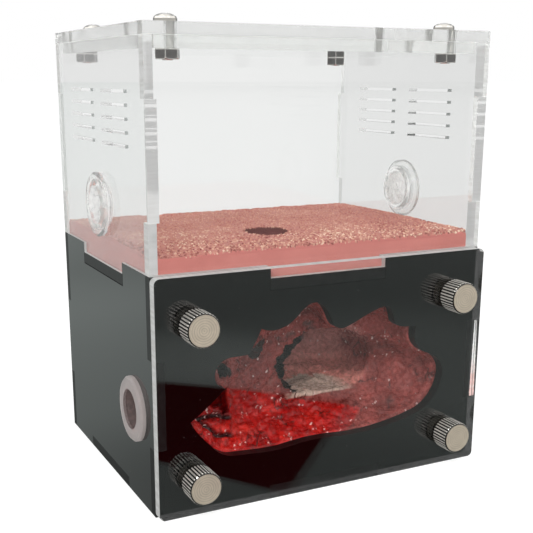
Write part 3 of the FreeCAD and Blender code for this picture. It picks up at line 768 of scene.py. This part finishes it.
def level_chamber_floor(spots, inside):
    """Levels the chamber's floor and lowers its sill. Says which points are on that floor."""
    x, y, z = spots.T
    settled = inside & (y > CHAMBER_BEHIND) & (x > CHAMBER_LEFT) & (z < CHAMBER_FLOOR)
    z[settled] = CHAMBER_FLOOR
    sill = (smooth(x, -9 * MM, -6 * MM) * smooth(x, 22 * MM, 18 * MM) * smooth(y, -28 * MM, -26 * MM)
            * smooth(y, -18 * MM, -21 * MM) * smooth(z, 27 * MM, 24.5 * MM) * inside)
    z -= SILL_DROP * sill * np.maximum(z - CHAMBER_FLOOR, 0.0)
    return settled


def rock_relief(at, settled, depth):
    """How far each point moves out along its normal, and how much painted shade a crevice gets."""
    x, y, z = at.T
    broad = lumps(at, BROAD_LUMPS[0], 2, seed=3.1)
    ridges = lumps(at, RIDGES[0], 4, "ridged", seed=5.7)
    grit = lumps(at, GRIT[0], 3, seed=8.3)
    push = BROAD_LUMPS[1] * broad - RIDGES[1] * ridges + GRIT[1] * grit
    push *= smooth(depth, 0.2 * MM, 2.0 * MM) * np.where(settled, FLOOR_RELIEF, 1.0)
    upper_left = smooth(x, 0.0, -8 * MM) * smooth(z, 30 * MM, 34 * MM)
    lip = LIP * (LIP_ELSEWHERE + (1.0 - LIP_ELSEWHERE) * upper_left)
    push += lip * (1.0 + 0.7 * broad + 0.5 * grit) * smooth(depth, 3.2 * MM, 0.6 * MM)
    at_chamber_rim = smooth(np.abs(y - CHAMBER_BEHIND), 3.0 * MM, 0.5 * MM) * smooth(x, 8 * MM, 2 * MM)
    push += RIM_LUMPS[1] * lumps(at, RIM_LUMPS[0], 3, seed=12.1) * at_chamber_rim
    crevice_shade = np.zeros(len(at))
    for corners in CREVICES:
        gap = distance_to_line(x, z, corners) + 0.3 * MM * lumps(at, 1.8 * MM, 2, seed=4.4)
        in_front = smooth(depth, 14 * MM, 10 * MM)
        push -= CREVICE_DEPTH * smooth(gap, CREVICE_WIDTH, 0.2 * CREVICE_WIDTH) * in_front
        crevice_shade = np.maximum(crevice_shade, smooth(gap, 0.85 * MM, 0.35 * MM) * in_front)
    return push, crevice_shade


def carve_cave(material):
    """The gypsum block, its hollow roughened by the scraper and the wet."""
    mesh = solid_copy("gypsum_nest_block", CAVE_VOXEL)
    low, high = box_of("gypsum_nest_block")
    spots, ways = points_of(mesh)
    inside = np.all((spots > low + FLAT_MARGIN) & (spots < high - FLAT_MARGIN), axis=1)
    soften_right_end(mesh, spots, inside, low[Y])
    settled = level_chamber_floor(spots, inside)
    cave = np.flatnonzero(inside)
    push, crevice_shade = rock_relief(spots[cave], settled[cave], spots[cave, Y] - low[Y])
    spots[cave] += ways[cave] * push[:, None]
    spots[cave, Y] = np.maximum(spots[cave, Y], low[Y] + 0.03 * MM)
    move_points(mesh, spots)
    # The crevices' painted shade is kept on the mesh.
    shades = np.zeros(len(spots))
    shades[cave] = crevice_shade
    shade_attribute(mesh, shades)
    mesh.materials.append(material)
    piece = new_piece("gypsum_cave", mesh, "housing")
    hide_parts("gypsum_nest_block")


# ---------------- sand

GRAINS = 9500
RIM_GRAINS = 1500
COARSE_GRAINS = (0.26 * MM, 0.50 * MM)  # half lengths of the smallest and largest grain in front
FINE_GRAINS = (0.20 * MM, 0.32 * MM)  # and at the back
GRAIN_MARGIN = 0.3 * MM  # from a grain's middle to the walls
GRAIN_REACH = 0.9 * MM  # no grain lies further than this from a point of the bed
RIM_DROP = 0.7 * MM  # grains along the walls lie up to this much lower
SAND_VOXEL = 0.5 * MM
SAND_INSET = 0.06 * MM  # between the bed and the walls
SAND_SINK = 0.5 * MM  # the bed reaches this far into the slab
SAND_HEAP = (0.55 * MM, -0.5 * MM)  # height of the front in the middle and at the left
SAND_LUMPS = (5 * MM, 0.22 * MM)  # their size and height


def grain_shape():
    """Twenty-sided ball: corners and faces."""
    long = (1 + math.sqrt(5)) / 2
    corners = []
    for a in (-1, 1):
        for b in (-long, long):
            corners += [(a, b, 0), (0, a, b), (b, 0, a)]
    corners = np.array(corners) / math.sqrt(1 + long * long)
    near = 1.2
    faces = []
    for i, j, k in itertools.combinations(range(len(corners)), 3):
        a, b, c = corners[i], corners[j], corners[k]
        if max(np.linalg.norm(a - b), np.linalg.norm(b - c), np.linalg.norm(c - a)) < near:
            outward = np.dot(np.cross(b - a, c - a), a + b + c) > 0
            faces.append((i, j, k) if outward else (i, k, j))
    return corners, np.array(faces)


def make_bed(material, rng, low, high):
    """The uneven bed, in place of the CAD coat of sand. Gives the points of its top."""
    mesh = solid_copy("sand_layer", SAND_VOXEL)
    spots, ways = points_of(mesh)
    within = (spots > low + FLAT_MARGIN) & (spots < high - FLAT_MARGIN)
    top = np.flatnonzero((ways[:, Z] > 0.5) & within[:, X] & within[:, Y])
    middle = smooth(spots[top, X], -44 * MM, -28 * MM)
    front = smooth(spots[top, Y], -18 * MM, low[Y])
    heap = front * (SAND_HEAP[0] * middle + SAND_HEAP[1] * (1 - middle))
    spots[top, Z] += SAND_LUMPS[1] * lumps(spots[top], SAND_LUMPS[0], 3, seed=1.9) + heap - 0.1 * MM
    spots[spots[:, Z] < low[Z] + 0.3 * MM, Z] -= SAND_SINK
    for axis in (X, Y):
        spots[:, axis] = np.clip(spots[:, axis], low[axis] + SAND_INSET, high[axis] - SAND_INSET)
    move_points(mesh, spots)
    shade_attribute(mesh, 0.42 + 0.1 * rng.random(len(spots)))
    mesh.materials.append(material)
    bed = new_piece("sand_bed", mesh, "housing")
    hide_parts("sand_layer")
    return spots[top]


def strew(rng, low, high):
    """Places of the grains, over the floor and then along its four sides, and how far each drops."""
    inner_low, inner_high = low[:2] + GRAIN_MARGIN, high[:2] - GRAIN_MARGIN
    flat = rng.uniform(inner_low, inner_high, (GRAINS, 2))
    along = rng.uniform(inner_low, inner_high, (RIM_GRAINS, 2))
    side = rng.integers(0, 4, RIM_GRAINS)
    sides = ((X, inner_low), (X, inner_high), (Y, inner_low), (Y, inner_high))
    for number, (axis, corner) in enumerate(sides):
        along[side == number, axis] = corner[axis]
    drops = np.concatenate([np.zeros(GRAINS), RIM_DROP * rng.random(RIM_GRAINS) ** 1.5])
    return np.concatenate([flat, along]), drops


def seat_grains(rng, bed_top, low, high):
    """Middles and sizes of the grains that have bed under them, coarser towards the front."""
    surface = kdtree.KDTree(len(bed_top))
    for index, (x, y, _) in enumerate(bed_top):
        surface.insert((x, y, 0.0), index)
    surface.balance()
    seats, sizes = [], []
    for (x, y), drop in zip(*strew(rng, low, high)):
        _, index, gap = surface.find((x, y, 0.0))
        if gap > GRAIN_REACH:
            continue
        backward = smooth(y, low[Y], 0.0)
        span = [(1 - backward) * a + backward * b for a, b in zip(COARSE_GRAINS, FINE_GRAINS)]
        seats.append((x, y, bed_top[index, Z] - drop))
        sizes.append(rng.uniform(*span))
    return np.array(seats), np.array(sizes)


def lay_sand(bed_material, grain_material):
    """Bed of grains pressed into the gypsum floor, with a hole for the ant shaft."""
    rng = np.random.default_rng(7)
    low, high = box_of("sand_layer")
    seats, sizes = seat_grains(rng, make_bed(bed_material, rng, low, high), low, high)
    count = len(seats)
    corners, faces = grain_shape()
    stretch = rng.uniform(0.7, 1.15, (count, 1, 3))
    turns = np.linalg.qr(rng.normal(size=(count, 3, 3)))[0]
    dents = rng.uniform(0.8, 1.1, (count, len(corners), 1))
    shapes = (corners[None] * stretch * dents) @ turns * sizes[:, None, None]
    points = (shapes + seats[:, None, :]).reshape(-1, 3)
    for axis in (X, Y):
        points[:, axis] = np.clip(points[:, axis], low[axis] + 0.02 * MM, high[axis] - 0.02 * MM)
    flips = np.linalg.det(turns) < 0
    all_faces = faces[None] + (np.arange(count) * len(corners))[:, None, None]
    all_faces[flips] = all_faces[flips][:, :, ::-1]
    mesh = new_mesh("sand_grains", points.tolist(), all_faces.reshape(-1, 3).tolist(), grain_material)
    x, y, _ = seats.T
    contrast = 1.05 - 0.5 * smooth(y, low[Y], 0.0)
    shades = 0.5 + contrast * (rng.random(count) - 0.5)
    beside_wall = smooth(x, low[X] + 4 * MM, low[X] + 1 * MM) * smooth(y, 2 * MM, -8 * MM)
    shade_attribute(mesh, np.repeat(shades - 0.45 * beside_wall, len(corners)))
    new_piece("sand_grains", mesh, "housing")


# ---------------- small trim

THREAD_PITCH = 0.5 * MM
THREAD_ROOT = 1.49 * MM
THREAD_CREST = 1.57 * MM
THREAD_FLANK = 0.23 * MM  # from crest to root, along the screw
THREAD_STEPS = 24  # per turn
THREAD_ENDS = (0.4 * MM, 0.2 * MM)  # bare shank at the screw's end and under the lid's face


def screw_thread(place, material):
    """Helical ridge on the shank of a lid screw, from under the lid's face to the screw's end."""
    low, high = box_of("lid_screw_" + place)
    middle = (low + high) / 2
    start, stop = low[Z] + THREAD_ENDS[0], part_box("lid_plate")[1][Z] - THREAD_ENDS[1]
    steps = int((stop - start) / THREAD_PITCH * THREAD_STEPS)
    points, faces = [], []
    for i in range(steps + 1):
        angle = 2 * math.pi * i / THREAD_STEPS
        z = start + i * THREAD_PITCH / THREAD_STEPS
        for radius, lift in ((THREAD_ROOT, -THREAD_FLANK), (THREAD_CREST, 0.0), (THREAD_ROOT, THREAD_FLANK)):
            x, y = middle[X] + radius * math.cos(angle), middle[Y] + radius * math.sin(angle)
            points.append((x, y, z + lift))
    for i in range(steps):
        for a in (3 * i, 3 * i + 1):
            faces.append((a, a + 3, a + 4, a + 1))
    name = "lid_screw_thread_" + place
    new_piece(name, new_mesh(name, points, faces, material), "lid")


TAB_HALF = 17.5 * MM  # the roof's tabs through the middle of each black wall
GAP_WIDTH = 0.28 * MM
GAP_PROUD = 0.008 * MM  # the drawn slits lie this far before the wall


def roof_joint_lines(material):
    """The slits round the tabs of the black roof, on the outside of the four black walls."""
    z0, z1 = (corner[Z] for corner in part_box("nest_roof_panel"))
    left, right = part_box("nest_left_panel")[0][X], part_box("nest_right_panel")[1][X]
    front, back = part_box("nest_front_mask")[0][Y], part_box("nest_back_panel")[1][Y]
    sides = ((X, Y, left - GAP_PROUD), (X, Y, right + GAP_PROUD), (Y, X, front - GAP_PROUD),
             (Y, X, back + GAP_PROUD))
    slits = ((-TAB_HALF, TAB_HALF, z0 - GAP_WIDTH, z0),
             (-TAB_HALF - GAP_WIDTH, -TAB_HALF, z0 - GAP_WIDTH, z1),
             (TAB_HALF, TAB_HALF + GAP_WIDTH, z0 - GAP_WIDTH, z1))
    points, faces = [], []
    for across, along, place in sides:
        for a, b, c, d in slits:
            faces.append(tuple(len(points) + i for i in range(4)))
            for u, z in ((a, c), (b, c), (b, d), (a, d)):
                corner = [0.0, 0.0, z]
                corner[across], corner[along] = place, u
                points.append(corner)
    mesh = new_mesh("roof_joint_lines", points, faces, material)
    new_piece("roof_joint_lines", mesh, "housing")


SEAM_WIDTHS = (0.825 * MM, 0.33 * MM)  # at its lower and its upper end
SEAM_RUN = (18.6 * MM, 41.9 * MM)  # lower and upper end of the finger joint
SEAM_STEPS = 40
SEAM_FROM_EDGE = 0.12 * MM
SEAM_PROUD = (0.004 * MM, 0.024 * MM)  # how far its rims and its middle stand before the mask


def joint_seam(material):
    """Bead of cement along the outer edge of the mask's right finger joint, under the window."""
    low, high = box_of("nest_front_mask")
    rng = np.random.default_rng(3)
    outer = high[X] - SEAM_FROM_EDGE
    points, faces = [], []
    for i in range(SEAM_STEPS + 1):
        z, wide = (a + (b - a) * i / SEAM_STEPS for a, b in (SEAM_RUN, SEAM_WIDTHS))
        wide *= rng.uniform(0.85, 1.1)
        for share, proud in ((1.0, SEAM_PROUD[0]), (0.5, SEAM_PROUD[1]), (0.0, SEAM_PROUD[0])):
            points.append((outer - share * wide, low[Y] - proud, z))
    for i in range(SEAM_STEPS):
        for a in (3 * i, 3 * i + 1):
            faces.append((a, a + 1, a + 4, a + 3))
    mesh = new_mesh("finger_joint_seam", points, faces, material)
    new_piece("finger_joint_seam", mesh, "housing")


# ---------------- stage and light

FLOOR_SIZE = 40.0
FLOOR_DROP = 0.05 * MM  # the floor lies this far under the nest
# What the window mirrors lies on the floor before the nest: a dark red thing, between these
# edges, each given by two of its points in millimetres with the dark side on their left.
MIRRORED_EDGES = (
    ((38.2, -105.5), (-11.9, -148.9)),
    ((-6.5, -46.2), (39.1, -93.4)),
    ((-36.3, -75.8), (-17.8, -47.4)),
)
MIRRORED_RED = (0.062, 0.0015, 0.003)
# Brighter places of what the black front mirrors: middle, radius and extra level.
GLINTS = (((10.0, -172.0), 60.0, 0.20), ((95.0, -125.0), 130.0, 0.11))
# How bright the surroundings are where clear sheets show them: the wall, and the floor far off
# and near by. They are dimmer towards one side.
WALL_LEVELS = (0.875, 0.83)  # at the horizon and above
FLOOR_LEVELS = (0.955, 0.905)
FLOOR_REACH = (0.5, 14.0)
DIM_SIDE = Vector((math.sin(math.radians(50)), math.cos(math.radians(50)), 0.0))
DIM_BY = 0.04
AMBIENT = 0.65


def dimmed(s, direction, level):
    """Level of the surroundings in a level direction from the object."""
    flat = s.vectors("MULTIPLY", direction, (1.0, 1.0, 0.0))
    toward = s.vectors("DOT_PRODUCT", s.vectors("NORMALIZE", flat), DIM_SIDE, output="Value")
    return s.math("SUBTRACT", level, s.span(toward, 0.91, 0.99, 0.0, DIM_BY))


def mirrored_thing(s, place):
    """1 on the dark red thing."""
    shares = []
    for (x0, y0), (x1, y1) in MIRRORED_EDGES:
        length = math.hypot(x1 - x0, y1 - y0)
        nx, ny = (y1 - y0) / length, -(x1 - x0) / length
        along = s.scaled(place[X], nx, s.math("MULTIPLY", place[Y], ny))
        side = s.math("SUBTRACT", along, (nx * x0 + ny * y0) * MM)
        shares.append(s.over(side, 0.0, 0.8 * MM))
    return s.both(*shares)


def mirrored_floor(s, place):
    """What black and polished pieces mirror of the floor: dim in front, brighter on the left."""
    before = (0.195, 0.215, 0.205)
    for (x, y), radius, extra in GLINTS:
        gap = s.vectors("DISTANCE", s.place(), (x * MM, y * MM, 0.0), output="Value")
        glint = s.span(gap, radius * MM, 0.25 * radius * MM)
        before = s.mix_colour(glint, before, (extra, 1.08 * extra, 1.04 * extra), "ADD")
    beside = s.mix_colour(s.span(place[Y], -0.02, 0.05), (0.42, 0.44, 0.43), (0.84, 0.92, 0.89))
    beside = s.mix_colour(s.span(place[Y], 0.17, 0.3, 0.0, 0.3), beside, BLACK)
    grey = s.mix_colour(s.span(place[X], 0.02, -0.2), before, beside)
    grey = s.mix_colour(s.span(place[Y], -0.42, -0.09), s.mix_colour(0.4, grey, (0.36, 0.38, 0.37)), grey)
    return s.shine(s.mix_colour(mirrored_thing(s, place), grey, MIRRORED_RED), 1.0)


def floor_material():
    """White to the camera with the object's shadow, and dimmer where sheets and mirrors show it."""
    s = Shader("floor")
    place = s.axes(s.place())
    lit = s.shine(WHITE, 0.82)
    seen = s.add("AddShader", {0: s.diffuse((0.32, 0.32, 0.32)), 1: lit}).outputs[0]
    distance = s.vectors("LENGTH", s.place(), output="Value")
    level = dimmed(s, s.place(), s.span(distance, *FLOOR_REACH, *FLOOR_LEVELS))
    seen = s.mix(s.through_sheet(), seen, s.shine(WHITE, level))
    in_window = s.both(s.math("MAXIMUM", s.path(1.0, 2.0), s.path(1.0, 4.0)),
                       s.math("LESS_THAN", place[Y], -36 * MM))
    return s.out(s.mix(s.math("MAXIMUM", s.in_a_mirror(), in_window), seen, mirrored_floor(s, place)))


def make_stage():
    half = FLOOR_SIZE / 2
    corners = [(-half, -half, 0), (half, -half, 0), (half, half, 0), (-half, half, 0)]
    floor = new_object("floor", new_mesh("floor", corners, [(0, 1, 2, 3)], floor_material()))
    floor.location.z = -FLOOR_DROP


def make_world():
    """White to the camera, an even soft light, and for metal a bright ceiling over a dim room."""
    world = bpy.data.worlds.new("world")
    world.use_nodes = True
    s = Shader("world", world.node_tree)
    direction = s.coords("Generated")
    axes = s.axes(direction)
    bands = s.scaled(axes[X], 7.0, s.scaled(axes[Z], 9.0, axes[Y]))
    bands = s.math("SINE", bands)
    room = s.both(s.span(bands, 0.2, 0.6, 0.06, 2.3), s.span(axes[Z], 0.15, 0.3))
    horizon = s.span(axes[Z], 0.3, 0.15, 0.0, 0.8)
    ceiling = s.span(axes[Z], 0.22, 0.5, 0.0, 1.7)
    mirrored = s.math("MAXIMUM", s.math("MAXIMUM", room, horizon), ceiling)
    wall = dimmed(s, direction, s.span(axes[Z], 0.0, 0.12, *WALL_LEVELS))
    level = s.mix_value(s.through_sheet(), AMBIENT, wall)
    level = s.mix_value(s.in_a_mirror(), level, mirrored)
    level = s.mix_value(s.light_path("Is Camera Ray"), level, 1.0)
    sky = s.add("Background", {"Color": WHITE, "Strength": level}).outputs[0]
    s.add("OutputWorld", {"Surface": sky})
    bpy.context.scene.world = world


LAMPS_AIM = Vector((0.0, 0.0, 0.06))


def soft_lamp(name, at, size, watts):
    data = bpy.data.lights.new(name, "AREA")
    data.shape = "SQUARE"
    data.size = size
    data.energy = watts
    lamp = new_object(name, data)
    lamp.location = at
    lamp.rotation_euler = (LAMPS_AIM - Vector(at)).to_track_quat("-Z", "Y").to_euler()
    return lamp


def make_lights():
    soft_lamp("key", (-0.45, -0.65, 0.75), 0.16, 3.4)
    overhead = soft_lamp("overhead", (0.15, 0.1, 0.95), 0.6, 2.4)
    # No square of light on the lid or through it, seen from above.
    overhead.visible_glossy = False
    overhead.visible_transmission = False


# ---------------- the whole

CLEAR_GAP = 0.03 * MM
SIDE_WALL_RIM = (33 * MM, 66 * MM, 116 * MM)


def draw_in(node_name):
    """Keeps two clear faces that touch from lying in one plane, where light would be lost."""
    weld = NODES[node_name].modifiers.new("weld", "WELD")
    weld.merge_threshold = 0.001 * MM
    shift = NODES[node_name].modifiers.new("draw_in", "DISPLACE")
    shift.mid_level = 0.0
    shift.strength = -CLEAR_GAP


def dress_sheets():
    # The side walls pass less light than the front and back walls of the same acrylic: a painted shade.
    clear = (clear_acrylic("clear_acrylic_side", X, body=0.885, cut_body=0.885, rim=SIDE_WALL_RIM),
             clear_acrylic("clear_acrylic_front", Y),
             clear_acrylic("clear_acrylic_lid", Z, cut_body=0.76, glow=0.2))
    # The window's left and top edges are made pale: painted light.
    window = clear_acrylic("clear_acrylic_window", Y, glow=0.75, lit_sides_only=True)
    for names, material in (*zip(CLEAR_SHEETS, clear), (("front_window",), window)):
        for name in names:
            dress(name, material)
            draw_in(name)
    for axis, names in enumerate(BLACK_PANELS):
        material = black_acrylic("black_acrylic_" + "xyz"[axis], axis)
        for name in names:
            dress(name, material)


def dress_fasteners():
    # The knurled nuts get a painted shade in their grooves.
    nickel = turned_metal("nickel_knurled", Y, side=(0.95, 0.91, 0.84), end=(0.66, 0.57, 0.455),
                          side_rough=0.12, end_rough=0.42, side_metal=0.6, end_metal=0.55,
                          groove=(0.492, 0.475))
    # The steel's darkening where it turns away from the eye is a painted reflection.
    steel = turned_metal("steel_fasteners", Z, side=(0.56, 0.54, 0.50), end=(0.58, 0.56, 0.52),
                         side_rough=0.1, end_rough=0.14, dark_away=0.95)
    # The steel nuts get a painted highlight along their corners.
    steel_nut = turned_metal("steel_nuts", Z, side=(0.10, 0.095, 0.09), end=(0.36, 0.35, 0.33),
                             side_rough=0.15, end_rough=0.2, edges=(0.85, 0.83, 0.79))
    for place in STUD_PLACES:
        dress("thumb_nut_" + place, nickel)
        dress("window_stud_" + place, steel)
    for place in SCREW_PLACES:
        dress("lid_screw_" + place, steel)
        dress("lid_nut_" + place, steel_nut)
        screw_thread(place, steel)


def dress_plugs():
    soft_clear = silicone("clear_silicone", (0.97, 0.97, 0.965), rim_milk=0.08, floor_milk=0.35,
                          floor_colour=(0.93, 0.93, 0.92))
    dress("arena_left_plug", soft_clear)
    dress("arena_right_plug", soft_clear)
    # The nest plug's floor is painted dark, a painted shade for the dark passage behind it.
    dress("nest_port_plug", silicone("milky_silicone", (0.90, 0.82, 0.80), rim_milk=0.62, floor_milk=0.8,
                                     floor_colour=(0.14, 0.085, 0.08)))


def main():
    bpy.context.scene.view_settings.view_transform = "Standard"
    make_camera()
    make_world()
    make_stage()
    make_lights()
    dress_sheets()
    dress_fasteners()
    dress_plugs()
    joint_seam(glue())
    roof_joint_lines(joint_gap())
    dress("arena_floor_slab", dry_gypsum())
    carve_cave(wet_rock())
    bed = sand("sand_bed", BED_COLOURS, 0.12 * MM, BED_SIDE)
    lay_sand(bed, sand("sand_grains", GRAIN_COLOURS, 0.05 * MM))


main()
